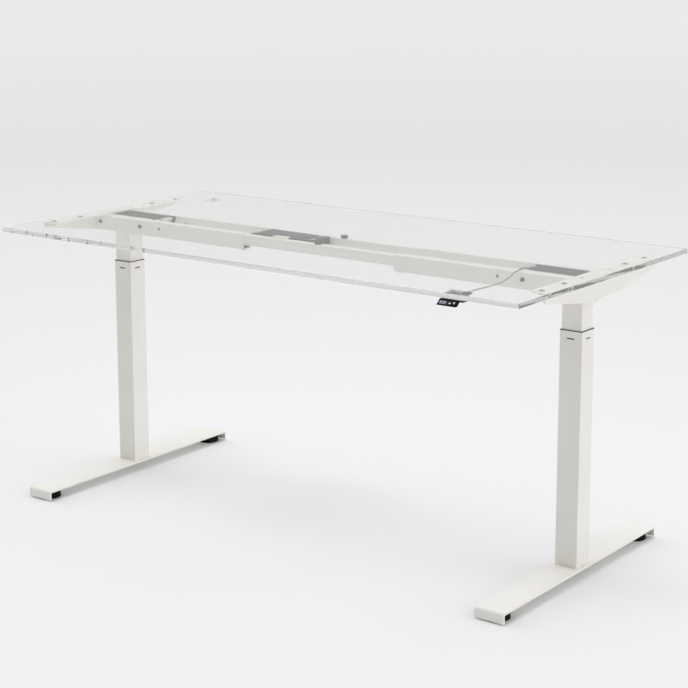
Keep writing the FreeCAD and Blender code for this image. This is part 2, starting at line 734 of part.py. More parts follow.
def tie_screw(name, side, y):
    """Sunk screw that ties the bracket's flange to the rail under it."""
    spot = (side * S.bracket_hole_out, middle + y)
    return socket_screw(name, "z", spot, head_top + 0.2, -1,
                        (S.bracket_hole_radius - S.bearing_gap, 3.4), (S.tie_radius, 5.5))


def bracket_screws():
    made = []
    for side_name, side in SIDES.items():
        made += [top_screw(f"top_screw_{side_name}_{i}", side, y) for i, y in enumerate(TOP_HOLES)]
        made += [tie_screw(f"tie_screw_{side_name}_{i}", side, y) for i, y in enumerate(TIE_HOLES)]
    return group("bracket_screws", made)


def rail_bumper(name, row):
    """Rubber buffer between the slimmer rail and the desktop."""
    return rod(name, "z", (-S.bumper_out, middle + row * rail_centre), S.bumper_radius,
               (rail_top - S.rail_wall, under_top))


# ---------------------------------------------------------------- control box
def box_span(margin=0.0):
    return (S.box_left + margin, S.box_right - margin)


SOCKET_ROW = (-19.5, -6.5, 6.5, 19.5)


def lid_corners():
    """Places of the lid's screws, from the box's centre line."""
    return [(x, y) for x in (S.box_left + 8, S.box_right - 8) for y in (-31.0, 31.0)]


def box_corner(point):
    on_end = near(point.x, -S.box_left) or near(point.x, -S.box_right)
    return on_end and near(point.y, box_half)


box_half = S.rail_gap / 2 - 1.5
box_rim = rail_top - 3


def control_box_base():
    made = body("control_box_base")
    wall = S.box_wall
    pad(made, "XY_Plane", [rectangle(box_span(), (-box_half, box_half))], (S.box_foot, box_rim))
    round_edges(made, 4, box_corner)
    pocket(made, "XY_Plane",
           [rectangle(box_span(wall), (-box_half + wall, box_half - wall))],
           (S.box_foot + wall, box_rim))
    ear = rectangle((S.box_left - 14, S.box_left), (-box_half + 2, -8.0))
    pad(made, "XY_Plane", [ear], (box_rim - 3, box_rim))
    sockets = [rectangle(both(y, 6), both(box_rim - 12, 5)) for y in SOCKET_ROW]
    pocket(made, "YZ_Plane", sockets, (S.box_right - wall, S.box_right))
    pad(made, "XY_Plane", [(x, y, 4.5) for x, y in lid_corners()], (S.box_foot + wall, box_rim))
    pocket(made, "XY_Plane", [(x, y, 1.85) for x, y in lid_corners()], (box_rim - 14, box_rim))
    return put(made, 0, middle)


def control_box_lid():
    made = body("control_box_lid")
    top = box_rim + S.lid_thickness
    pad(made, "XY_Plane", [rectangle(box_span(), (-box_half, box_half))], (box_rim, top))
    round_edges(made, 4, box_corner)
    round_edges(made, 1.2, lambda p: near(p.z, top))
    holes = [(x, y, 2.0) for x, y in lid_corners()]
    pocket(made, "XY_Plane", holes, (box_rim, top))
    return put(made, 0, middle)


def control_board():
    """Circuit board with its transformer, on four posts."""
    level = S.box_foot + S.box_wall
    board = block("board_plate", box_span(16), both(middle, 33), (level + 4, level + 5.6))
    power = block("board_transformer", (S.box_left + 22, S.box_left + 62), both(middle, 17),
                  (level + 5.6, level + 19))
    relays = [block(f"board_relay_{i}", (x, x + 18), (middle - 22, middle - 8),
                    (level + 5.6, level + 17))
              for i, x in enumerate((S.box_left + 76, S.box_left + 100, S.box_left + 124))]
    posts = [rod(f"board_post_{i}", "z", (x, middle + y), 3, (level, level + 4))
             for i, (x, y) in enumerate((x, y) for x in (S.box_left + 22, S.box_right - 22)
                                        for y in (-28.0, 28.0))]
    return fuse("control_board", [board, power, *relays, *posts])


def control_sockets():
    """Four sockets in the box's end wall."""
    blocks = []
    for i, y in enumerate(SOCKET_ROW):
        centre = middle + y
        shell = block(f"socket_shell_{i}", (S.box_right - 14, S.box_right + 1.5),
                      both(centre, 5.9), both(box_rim - 12, 4.9))
        mouth = block(f"socket_mouth_{i}", (S.box_right - 10, S.box_right + 2),
                      both(centre, 4.4), both(box_rim - 12, 3.4))
        blocks.append(cut(f"socket_{i}", shell, [mouth]))
    return group("control_sockets", blocks)


def control_screws():
    top = box_rim + S.lid_thickness
    return group("control_screws", [
        socket_screw(f"control_screw_{i}", "z", (x, middle + y), top, -1, (3.4, 1.6), (1.8, 14))
        for i, (x, y) in enumerate(lid_corners())])


def box_clips():
    """Sheet clips between the box and the rails: one over its front edge, one under its back."""
    x = (S.box_left + 76, S.box_left + 121)
    lid_top = box_rim + S.lid_thickness
    rail_roof = rail_top - S.rail_wall
    front_face = middle - S.rail_gap / 2 - S.rail_wall - S.slide_fit
    front = fuse("box_clip_front", [
        block("clip_tongue", x, (front_face - 10, middle - box_half + 6), (lid_top, lid_top + 1.6)),
        block("clip_foot", x, (front_face - 10, front_face - 2), (rail_roof, lid_top))])
    back_face = middle + S.rail_gap / 2 + S.rail_wall + S.slide_fit
    back = fuse("box_clip_back", [
        block("clip_shelf", x, (middle + box_half - 20, back_face), (S.box_foot - 1.6, S.box_foot)),
        block("clip_leg", x, (middle + box_half, back_face), (S.box_foot, S.box_foot + 14))])
    return group("box_clips", [front, back])


# ---------------------------------------------------------------- handset
handset_middle = (S.handset_left + S.handset_right) / 2
handset_roof = under_top - S.handset_pad
lean = math.degrees(math.atan2(number(S.handset_lean), number(S.handset_face)))
FACE = FreeCAD.Placement(
    FreeCAD.Vector(number(handset_middle), number(S.handset_front + S.handset_lean / 2),
                   number(handset_roof - S.handset_face / 2)),
    FreeCAD.Rotation(FreeCAD.Vector(1, 0, 0), -lean))
WINDOW = (-23.0, -1.0)
KEYS = {"key_up": (2.0, 11.0), "key_down": (12.5, 21.5)}
KEY_HALF = 4.2
PAD_SPOTS = [(600.0, -352.0), (618.0, -352.0)]


def face_block(name, x, y, z):
    """A block in the frame of the handset's leaning face: x along it, y into it, z up it."""
    made = doc.addObject("Part::Box", name)
    for prop, (low, high) in zip(("Length", "Width", "Height"), (x, y, z)):
        bind(made, prop, high - low)
    corner = FreeCAD.Vector(number(x[0]), number(y[0]), number(z[0]))
    made.Placement = FACE.multiply(FreeCAD.Placement(corner, FreeCAD.Rotation()))
    return made


def handset_case():
    """Leaning face with wells for the keys and window, a thin deck with an ear, and the lead's boss."""
    made = body("handset_shell")
    low = handset_roof - S.handset_face
    deck = handset_roof - S.handset_deck
    inner = S.handset_front + S.handset_wall
    slope = S.handset_lean / S.handset_face
    side_view = [(S.handset_front, low), (S.handset_front + S.handset_lean, handset_roof),
                 (S.handset_back, handset_roof), (S.handset_back, deck),
                 (inner + slope * (S.handset_face - S.handset_deck), deck), (inner, low)]
    pad(made, "YZ_Plane", [side_view], (S.handset_left, S.handset_right))
    lead_x, lead_y, lead_z = LEAD_ROUTE[0]
    pad(made, "XZ_Plane", [(lead_x, lead_z, 2.3)], (S.handset_back, lead_y))
    front = S.handset_front + S.handset_lean
    ear = rectangle((S.handset_right, S.handset_right + S.handset_ear), (front, front + 24))
    pad(made, "XY_Plane", [ear], (handset_roof - 2.5, handset_roof))
    pocket(made, "XY_Plane", [(x, y, 1.95) for x, y in PAD_SPOTS],
           (handset_roof - 2.6, handset_roof))
    wells = [face_block("window_well", WINDOW, (-2, 1.2), (-5.0, 5.0))]
    for name, span in KEYS.items():
        wells.append(face_block(name + "_well", (span[0] - 0.3, span[1] + 0.3), (-2, 3.4),
                                (-KEY_HALF - 0.3, KEY_HALF + 0.3)))
    return cut("handset_case", made, wells)


def handset_key(name):
    """Push key, 0.8 mm proud of the face at rest."""
    span = KEYS[name]
    key = face_block(name + "_blank", span, (-S.key_travel - 0.1, 2.5), (-KEY_HALF, KEY_HALF))
    rounded = doc.addObject("Part::Fillet", name)
    rounded.Base = key
    doc.recompute()
    rounded.Edges = [(i, 0.4, 0.4) for i in range(1, len(key.Shape.Edges) + 1)]
    return rounded


def handset_pads():
    """Round pads bonded under the desktop, each sunk for the screw that carries the handset."""
    made = []
    for i, spot in enumerate(PAD_SPOTS):
        name = f"handset_pad_{i}"
        disc = rod(name, "z", spot, S.handset_pad_radius, (handset_roof, under_top))
        bore = rod(name + "_bore", "z", spot, 2.0, (handset_roof - 1, under_top))
        seat = rod(name + "_seat", "z", spot, 4.4, (under_top - 1.4, under_top + 1))
        made.append(cut(name + "_bored", disc, [bore, seat]))
    return group("handset_pads", made)


def handset_screws():
    reach = S.handset_pad - 1.4 + 2.3
    made = [socket_screw(f"handset_screw_{i}", "z", spot, under_top - 1.4, -1, (4.2, 1.2),
                         (1.9, reach)) for i, spot in enumerate(PAD_SPOTS)]
    return group("handset_screws", made)


# ---------------------------------------------------------------- handset lead
def cord_path(route):
    """Straight runs joined by tangent arcs, each arc as large as its two runs allow."""
    points = [FreeCAD.Vector(*p) for p in route]
    edges, radii, start = [], [], points[0]
    for before, corner, after in zip(points, points[1:], points[2:]):
        arrive, leave = corner - before, after - corner
        half_turn = arrive.getAngle(leave) / 2
        setback = 0.45 * min(arrive.Length, leave.Length)
        radii.append(setback / math.tan(half_turn))
        inward = arrive.normalize() * setback
        onward = leave.normalize() * setback
        first, last = corner - inward, corner + onward
        bisector = (last + first - corner * 2).normalize()
        centre = corner + bisector * (radii[-1] / math.cos(half_turn))
        halfway = centre - bisector * radii[-1]
        edges.append(Part.LineSegment(start, first).toShape())
        edges.append(Part.Arc(first, halfway, last).toShape())
        start = last
    edges.append(Part.LineSegment(start, points[-1]).toShape())
    return Part.Wire(edges), radii


def handset_lead():
    path, radii = cord_path(LEAD_ROUTE)
    radius = number(S.lead_radius)
    start, following = (FreeCAD.Vector(*p) for p in LEAD_ROUTE[:2])
    section = Part.Wire([Part.Circle(start, following - start, radius).toShape()])
    tube = path.makePipeShell([section], True, False)
    made = doc.addObject("Part::Feature", "handset_lead")
    made.Shape = tube
    made.Placement = FreeCAD.Placement()
    expected = math.pi * radius ** 2 * path.Length
    print(f"handset lead: {path.Length:.0f} mm, radii {[round(r) for r in radii]}, "
          f"volume {made.Shape.Volume / expected:.4f} of section times length")
    return made


# ---------------------------------------------------------------- desktop
def tabletop():
    made = body("tabletop")
    length, depth = S.top_length / 2, S.top_depth / 2
    plate = rectangle((-length, length), (-depth, depth))
    port = (-S.grommet_out, S.grommet_back, S.grommet_bore / 2)
    pad(made, "XY_Plane", [plate, port], (under_top, S.desk_height))
    tapped = [(side * S.bracket_hole_out, middle + y, S.top_screw_radius + S.bearing_gap)
              for side in SIDES.values() for y in TOP_HOLES]
    pocket(made, "XY_Plane", tapped, (under_top, under_top + S.tapped_depth + 0.5))
    round_edges(made, S.top_corner, lambda p: near(p.x, length) and near(p.y, depth))
    return made


# ---------------------------------------------------------------- the whole desk
def build():
    nodes = {}

    def keep(made, name=None):
        nodes[name or made.Label] = made

    for side_name, side in SIDES.items():
        keep(foot(f"foot_{side_name}", side))
        keep(outer_tube(f"outer_tube_{side_name}", side))
        keep(inner_tube(f"inner_tube_{side_name}", side))
        keep(head_tray(f"head_tray_{side_name}", side))
        keep(gearbox(f"gearbox_{side_name}", side))
        keep(motor(f"motor_{side_name}", side))
        keep(motor_cover(f"motor_cover_{side_name}", side))
        keep(spindle(f"spindle_{side_name}", side))
        keep(worm_wheel(f"worm_wheel_{side_name}", side))
        keep(worm_shaft(f"worm_shaft_{side_name}", side))
        keep(bracket(f"bracket_{side_name}", side))
        for end_name, end in RAILS.items():
            keep(glide(f"glide_{end_name}_{side_name}", side, end))
            keep(outer_rail(f"outer_rail_{end_name}_{side_name}", side, end))
    for row_name, row in RAILS.items():
        keep(mid_rail(f"mid_rail_{row_name}", row))

    for name, maker in (("guide_collars", guide_collar), ("slide_shoes", slide_shoe),
                        ("head_plugs", head_plug), ("thrust_bearings", thrust_bearing),
                        ("spindle_nuts", spindle_nut), ("nut_tubes", nut_tube),
                        ("motor_sockets", motor_socket)):
        keep(group(name, [maker(f"{name[:-1]}_{side_name}", side)
                          for side_name, side in SIDES.items()]))
    keep(group("foot_screws", [foot_screw(f"foot_screw_{side_name}_{sx + 1}{sy + 1}", side, sx, sy)
                               for side_name, side in SIDES.items()
                               for sx in (-1, 1) for sy in (-1, 1)]))
    keep(group("rail_guides", [rail_guide(f"rail_guide_{row_name}_{side_name}", side, row)
                               for side_name, side in SIDES.items()
                               for row_name, row in RAILS.items()]))
    keep(frame_screws())
    keep(bracket_screws())
    keep(group("rail_bumpers", [rail_bumper(f"rail_bumper_{row_name}", row)
                                for row_name, row in RAILS.items()]))

    keep(drive_plug("lead_plug", 1, (579, 591), (6, 22), (719, 728.5)))
    keep(drive_plug("link_plug", -1, (579, 591), (-16, 22), (719, 726.5)))
    for maker in (control_box_base, control_box_lid, control_board, control_sockets, control_screws,
                  box_clips, handset_case, handset_pads, handset_screws, handset_lead, tabletop):
        keep(maker())
    window = face_block("handset_window", (WINDOW[0] + 0.1, WINDOW[1] - 0.1), (0, 1.2), (-4.9, 4.9))
    keep(window)
    for name in KEYS:
        keep(handset_key(name))
    return nodes


def check(nodes):
    """Stops on a failed object, an empty or invalid shape, or a pocket that removed nothing."""
    for item in doc.Objects:
        if {"Invalid", "Error"} & set(item.State):
            raise RuntimeError(f"{item.Name} failed: {item.State}")
        if item.TypeId == "PartDesign::Pocket":
            if not item.Shape.Volume < item.BaseFeature.Shape.Volume - 1e-3:
                raise RuntimeError(f"{item.Name} removes nothing")
    for name, made in nodes.items():
        if made.Shape.isNull() or not made.Shape.isValid() or not made.Shape.Solids:
            raise RuntimeError(f"{name} has no valid solid")


nodes = build()
doc.recompute()
check(nodes)
os.makedirs("parts", exist_ok=True)
for name, made in nodes.items():
    made.Shape.exportStep(f"parts/{name}.step")
print(f"{len(nodes)} nodes, {sum(len(made.Shape.Solids) for made in nodes.values())} solids")
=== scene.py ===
"""The height-adjustable desk's looks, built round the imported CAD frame.

Metres, in the CAD frame: floor at z = 0 under the desktop's centre, +X right, +Y back, +Z up.
"""

import json
import math

import bmesh
import bpy
from mathutils import Euler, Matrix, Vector


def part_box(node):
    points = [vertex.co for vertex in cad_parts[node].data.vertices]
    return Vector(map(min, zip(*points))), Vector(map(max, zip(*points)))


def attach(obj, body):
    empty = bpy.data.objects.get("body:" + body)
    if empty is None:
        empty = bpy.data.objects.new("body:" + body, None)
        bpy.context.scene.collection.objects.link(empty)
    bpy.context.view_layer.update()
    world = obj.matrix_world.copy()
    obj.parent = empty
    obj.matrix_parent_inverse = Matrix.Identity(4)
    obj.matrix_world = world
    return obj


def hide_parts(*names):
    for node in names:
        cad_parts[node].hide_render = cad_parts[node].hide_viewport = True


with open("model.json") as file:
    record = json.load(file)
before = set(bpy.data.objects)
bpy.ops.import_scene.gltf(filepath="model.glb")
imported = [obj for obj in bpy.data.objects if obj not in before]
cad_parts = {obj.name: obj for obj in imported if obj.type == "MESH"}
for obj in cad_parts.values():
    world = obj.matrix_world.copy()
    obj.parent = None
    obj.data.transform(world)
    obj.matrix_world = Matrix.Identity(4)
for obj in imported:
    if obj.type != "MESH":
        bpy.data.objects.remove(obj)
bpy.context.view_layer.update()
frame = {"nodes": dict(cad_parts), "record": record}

SIDES = ("left", "right")
ENDS = ("front", "back")
MM = 0.001
FRAME_MIDDLE = -0.005  # the steel frame's centre line, a little in front of the desktop's

# ---------------------------------------------------------------- camera
CAMERA_PLACE = Vector((2.712, -3.539, 1.544))
CAMERA_YAW = math.radians(36.47)
CAMERA_PITCH = math.radians(10.94)
CAMERA_LENS = 92.4
CAMERA_SHIFT = (-0.029, -0.12)


def add_camera():
    data = bpy.data.cameras.new("camera")
    data.sensor_width = 36
    data.lens = CAMERA_LENS
    data.shift_x, data.shift_y = CAMERA_SHIFT
    data.clip_end = 400
    camera = bpy.data.objects.new("camera", data)
    camera.location = CAMERA_PLACE
    camera.rotation_euler = Euler((math.radians(90) - CAMERA_PITCH, 0, CAMERA_YAW))
    bpy.context.collection.objects.link(camera)
    bpy.context.scene.camera = camera


# ---------------------------------------------------------------- materials
TOP_COLOUR = (0.985, 0.99, 0.985, 1)
TOP_GLOSS = 0.5
TOP_INDEX = 1.49
TRAPPED = 0.99  # above this the desktop's inner faces mirror everything
TOP_TINT = (0.84, 0.85, 0.838, 1)
TOP_ABSORPTION = 1.3
TOP_SHADE = (0.98, 0.98, 0.98, 1)
THREAD_LEVEL = 0.7334  # screws are inside the desktop above this
# painted highlight: the pale grey painted on the screws' thread flanks inside the desktop
THREAD_GLINT_TONE = 0.78


class Nodes:
    """A material's node tree with a Principled shader, and short ways to add to it."""

    def __init__(self, name, **sockets):
        self.material = bpy.data.materials.new(name)
        self.material.use_nodes = True
        self.tree = self.material.node_tree
        self.shader = self.tree.nodes["Principled BSDF"]
        self.output = self.tree.nodes["Material Output"]
        for socket, value in sockets.items():
            self.shader.inputs[socket.replace("_", " ")].default_value = value
        self.place = self.add("ShaderNodeTexCoord").outputs["Object"]

    def add(self, kind, **settings):
        node = self.tree.nodes.new(kind)
        for key, value in settings.items():
            setattr(node, key, value)
        return node

    def link(self, source, target):
        self.tree.links.new(source, target)

    def stretched(self, scale):
        """Object coordinates, scaled along each axis."""
        mapping = self.add("ShaderNodeMapping")
        mapping.inputs["Scale"].default_value = scale
        self.link(self.place, mapping.inputs["Vector"])
        return mapping.outputs["Vector"]

    def noise(self, size, detail=2.0, roughness=0.5, place=None):
        """Fractal noise with features of that size in metres."""
        node = self.add("ShaderNodeTexNoise")
        node.inputs["Scale"].default_value = 1 / size
        node.inputs["Detail"].default_value = detail
        node.inputs["Roughness"].default_value = roughness
        self.link(place or self.place, node.inputs["Vector"])
        return node.outputs["Fac"]

    def ramp(self, source, stops):
        """Maps a value through (position, colour or grey) stops."""
        node = self.add("ShaderNodeValToRGB")
        elements = node.color_ramp.elements
        while len(elements) < len(stops):
            elements.new(0.5)
        for element, (position, colour) in zip(elements, stops):
            element.position = position
            element.color = (*([colour] * 3 if isinstance(colour, float) else colour), 1)
        self.link(source, node.inputs["Fac"])
        return node.outputs["Color"]

    def bump(self, source, height, strength, under=None):
        """A bump of that height in metres; returns its normal."""
        node = self.add("ShaderNodeBump")
        node.inputs["Distance"].default_value = height
        node.inputs["Strength"].default_value = strength
        self.link(source, node.inputs["Height"])
        if under is not None:
            self.link(under, node.inputs["Normal"])
        return node.outputs["Normal"]

    def math(self, operation, first, second):
        """Arithmetic on two numbers or sockets."""
        node = self.add("ShaderNodeMath", operation=operation)
        for socket, value in zip(node.inputs, (first, second)):
            if isinstance(value, float):
                socket.default_value = value
            else:
                self.link(value, socket)
        return node.outputs["Value"]

    def mix(self, share, first, second):
        """Mixes two shaders by a socket that gives the second one's share."""
        node = self.add("ShaderNodeMixShader")
        self.link(share, node.inputs["Fac"])
        self.link(first, node.inputs[1])
        self.link(second, node.inputs[2])
        return node.outputs["Shader"]

    def feed(self, socket, source):
        self.link(source, self.shader.inputs[socket])


def powder_coat():
    """Warm white powder coat: fine orange peel, faint drift in tone and gloss."""
    n = Nodes("white_powder_coat")
    drift = n.noise(0.12, 3)
    n.feed("Base Color", n.ramp(drift, [(0.3, (0.855, 0.839, 0.792)), (0.7, (0.883, 0.867, 0.818))]))
    n.feed("Roughness", n.ramp(n.noise(0.03, 3), [(0.3, 0.38), (0.7, 0.46)]))
    peel = n.bump(n.noise(0.0011, 2), 0.00003, 0.6)
    n.feed("Normal", n.bump(n.noise(0.006, 2), 0.00008, 0.4, peel))
    return n.material


def clear_top():
    """Thick polished acrylic, its gloss thinned by an anti-glare finish; lamps shine through it."""
    n = Nodes("clear_top", Transmission_Weight=1.0, IOR=TOP_INDEX, Roughness=0.0)
    n.shader.inputs["Base Color"].default_value = TOP_COLOUR
    ripple = n.bump(n.noise(0.25, 2), 0.0002, 0.1)
    n.feed("Normal", ripple)
    through = n.add("ShaderNodeBsdfRefraction")
    through.inputs["IOR"].default_value = TOP_INDEX
    through.inputs["Roughness"].default_value = 0.0
    through.inputs["Color"].default_value = TOP_COLOUR
    n.link(ripple, through.inputs["Normal"])
    fresnel = n.add("ShaderNodeFresnel")
    fresnel.inputs["IOR"].default_value = TOP_INDEX
    glossy = n.math("MAXIMUM", n.math("GREATER_THAN", fresnel.outputs["Fac"], TRAPPED), TOP_GLOSS)
    surface = n.mix(glossy, through.outputs["BSDF"], n.shader.outputs["BSDF"])
    clear = n.add("ShaderNodeBsdfTransparent")
    clear.inputs["Color"].default_value = TOP_SHADE
    rays = n.add("ShaderNodeLightPath")
    lighting = n.math("MAXIMUM", rays.outputs["Is Shadow Ray"], rays.outputs["Is Diffuse Ray"])
    n.link(n.mix(lighting, surface, clear.outputs["BSDF"]), n.output.inputs["Surface"])
    body = n.add("ShaderNodeVolumeAbsorption")
    body.inputs["Color"].default_value = TOP_TINT
    body.inputs["Density"].default_value = TOP_ABSORPTION
    n.link(body.outputs["Volume"], n.output.inputs["Volume"])
    return n.material


def black_screws():
    """Black oxide screws with a painted highlight: their thread flanks inside the clear desktop are painted
    pale.
    """
    n = Nodes("black_steel")
    n.feed("Roughness", n.ramp(n.noise(0.008, 3), [(0.3, 0.27), (0.7, 0.37)]))
    n.feed("Normal", n.bump(n.noise(0.0005, 3, 0.6), 0.00001, 0.7))
    split = n.add("ShaderNodeSeparateXYZ")
    n.link(n.place, split.inputs["Vector"])
    facing = n.add("ShaderNodeSeparateXYZ")
    n.link(n.add("ShaderNodeNewGeometry").outputs["Normal"], facing.inputs["Vector"])
    flank = n.math("LESS_THAN", n.math("ABSOLUTE", facing.outputs["Z"], 0.0), 0.5)
    # painted highlight: side faces above THREAD_LEVEL, inside the desktop, are painted pale
    painted_glint = n.math("MULTIPLY", flank, n.math("GREATER_THAN", split.outputs["Z"], THREAD_LEVEL))
    tone = n.math("ADD", n.math("MULTIPLY", painted_glint, THREAD_GLINT_TONE), n.math("MULTIPLY", n.noise(0.02, 3), 0.03))
    n.link(tone, n.shader.inputs["Base Color"])
    return n.material


def moulded(name, dark, light, roughness, grain=0.0006, depth=0.00003, gloss=0.5):
    """Moulded plastic with a spark-eroded grain."""
    n = Nodes(name)
    n.shader.inputs["Specular IOR Level"].default_value = gloss
    n.feed("Base Color", n.ramp(n.noise(0.02, 3), [(0.3, dark), (0.7, light)]))
    n.feed("Roughness", n.ramp(n.noise(0.008, 3), [(0.3, roughness - 0.05), (0.7, roughness + 0.05)]))
    n.feed("Normal", n.bump(n.noise(grain, 3, 0.6), depth, 0.7))
    return n.material


def plated_steel():
    """Zinc-plated steel, finely turned."""
    n = Nodes("zinc_steel", Metallic=1.0)
    n.feed("Base Color", n.ramp(n.noise(0.004, 3), [(0.3, (0.52, 0.53, 0.55)), (0.7, (0.66, 0.66, 0.66))]))
    n.feed("Roughness", n.ramp(n.noise(0.002, 3), [(0.3, 0.28), (0.7, 0.42)]))
    n.feed("Normal", n.bump(n.noise(0.0005, 2, place=n.stretched((1, 1, 8))), 0.00002, 0.5))
    return n.material


def make_materials():
    return {
        "white_powder_coat": powder_coat(),
        "clear_top": clear_top(),
        "black_plastic": moulded("black_plastic", (0.012,) * 3, (0.022,) * 3, 0.5),
        "dark_plastic": moulded("dark_plastic", (0.022, 0.022, 0.023), (0.034, 0.034, 0.035), 0.5),
        "handset_plastic": moulded("handset_plastic", (0.004,) * 3, (0.008,) * 3, 0.42, 0.0004, gloss=0.12),
        "window_plastic": moulded("window_plastic", (0.06, 0.058, 0.078), (0.085, 0.082, 0.11), 0.25, 0.002,
                                  0.00001, gloss=0.2),
        "lit_marks": moulded("lit_marks", (0.58, 0.57, 0.66), (0.68, 0.67, 0.76), 0.5, 0.0004, 0.00001),
        "pale_plastic": moulded("pale_plastic", (0.62, 0.62, 0.60), (0.70, 0.70, 0.68), 0.4),
        "grey_lead": moulded("grey_lead", (0.20, 0.20, 0.21), (0.26, 0.26, 0.27), 0.45, 0.0008),
        "black_rubber": moulded("black_rubber", (0.004,) * 3, (0.009,) * 3, 0.6, 0.0009, gloss=0.15),
        "black_steel": black_screws(),
        "zinc_steel": plated_steel(),
        "white_nylon": moulded("white_nylon", (0.70, 0.69, 0.64), (0.78, 0.77, 0.72), 0.4),
        "bare_aluminium": moulded("bare_aluminium", (0.55,) * 3, (0.62,) * 3, 0.5),
        "board_green": moulded("board_green", (0.02, 0.12, 0.05), (0.03, 0.17, 0.07), 0.3),
    }


# how wide the edges of the nodes whose names start so are rounded
EDGE_WIDTHS = {"foot_left": 0.8 * MM, "foot_right": 0.8 * MM, "outer_tube": 1.0 * MM,
               "bracket_left": 0.7 * MM, "bracket_right": 0.7 * MM, "outer_rail": 0.7 * MM,
               "mid_rail": 0.7 * MM, "head_tray": 0.5 * MM, "motor_cover": 0.5 * MM,
               "handset_case": 0.4 * MM, "control_box": 0.4 * MM, "lead_plug": 0.4 * MM,
               "link_plug": 0.4 * MM, "key_": 0.2 * MM}


def dress_nodes(materials):
    """Gives every CAD node its material, and the sheet, tube and moulded ones rounded edges."""
    for part in frame["record"]["subparts"]:
        node = frame["nodes"][part["node"]]
        node.data.materials.clear()
        node.data.materials.append(materials[part["material_slot"]])
        for stem, width in EDGE_WIDTHS.items():
            if part["node"].startswith(stem):
                weld = node.modifiers.new("weld", "WELD")
                weld.merge_threshold = 0.01 * MM
                bevel_edges(node, width, 2, 40)
                if stem != "motor_cover":
                    plain_flats(node)


# ---------------------------------------------------------------- mesh tools
def add_piece(name, mesh, material, body):
    """A mesh object in the row frame that rides on a body."""
    mesh.materials.append(material)
    piece = bpy.data.objects.new(name, mesh)
    bpy.context.collection.objects.link(piece)
    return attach(piece, body)


def smooth_by_angle(piece, degrees=35):
    """Smooth shading that keeps edges sharper than the angle."""
    for face in piece.data.polygons:
        face.use_smooth = True
    piece.data.set_sharp_from_angle(angle=math.radians(degrees))


def bevel_edges(piece, width, segments=3, degrees=30):
    """Rounds the piece's sharp edges as it renders; its own mesh stays as it is."""
    modifier = piece.modifiers.new("bevel", "BEVEL")
    modifier.width = width
    modifier.segments = segments
    modifier.limit_method = "ANGLE"
    modifier.angle_limit = math.radians(degrees)
    modifier.use_clamp_overlap = True
    modifier.harden_normals = True


def plain_flats(node):
    """Joins each flat face's triangles before the bevel, so a hole's rim doesn't fold them over."""
    flats = node.modifiers.new("flats", "DECIMATE")
    flats.decimate_type = "DISSOLVE"
    flats.angle_limit = math.radians(0.5)
    node.modifiers.move(node.modifiers.find("flats"), node.modifiers.find("bevel"))
    node.modifiers["bevel"].loop_slide = False


def ring(centre, radius, count):
    """Points round a circle, counter-clockwise from +X."""
    return [(centre[0] + radius * math.cos(2 * math.pi * i / count),
             centre[1] + radius * math.sin(2 * math.pi * i / count)) for i in range(count)]


def quarter(centre, radius, turn, steps):
    """Points round a quarter circle that starts after that many quarter turns from +X."""
    angles = [math.radians(90 * (turn + step / steps)) for step in range(steps + 1)]
    return [(centre[0] + radius * math.cos(a), centre[1] + radius * math.sin(a)) for a in angles]


def mesh_of(shape, name):
    """The finished shape as a mesh."""
    mesh = bpy.data.meshes.new(name)
    shape.to_mesh(mesh)
    shape.free()
    return mesh


GLIDE_GRIPS = 36
GRIP_DEPTH = 0.7 * MM


def turned(name, profile, centre, count):
    """A mesh turned round a vertical axis from (radius, height) points that start and end on it.

    Points with a third item get shallow grips all round."""
    shape = bmesh.new()
    rows = []
    for radius, height, *gripped in profile:
        if radius == 0:
            rows.append([shape.verts.new((centre.x, centre.y, height))])
            continue
        row = []
        for i in range(count):
            angle = 2 * math.pi * i / count
            cut = GRIP_DEPTH * (0.5 - 0.5 * math.cos(GLIDE_GRIPS * angle)) if gripped else 0
            row.append(shape.verts.new((centre.x + (radius - cut) * math.cos(angle),
                                        centre.y + (radius - cut) * math.sin(angle), height)))
        rows.append(row)
    for low, high in zip(rows, rows[1:]):
        for i in range(count):
            j = (i + 1) % count
            corners = [low[i % len(low)], low[j % len(low)], high[j % len(high)], high[i % len(high)]]
            shape.faces.new(list(dict.fromkeys(corners)))
    bmesh.ops.recalc_face_normals(shape, faces=shape.faces)
    return mesh_of(shape, name)


# ---------------------------------------------------------------- desktop
GROMMET = (-0.660, 0.292)
GROMMET_RADIUS = 0.025
TOP_CORNER = 0.004
TOP_SEAT_GAP = 0.0002
TOP_POLISH = 0.0006


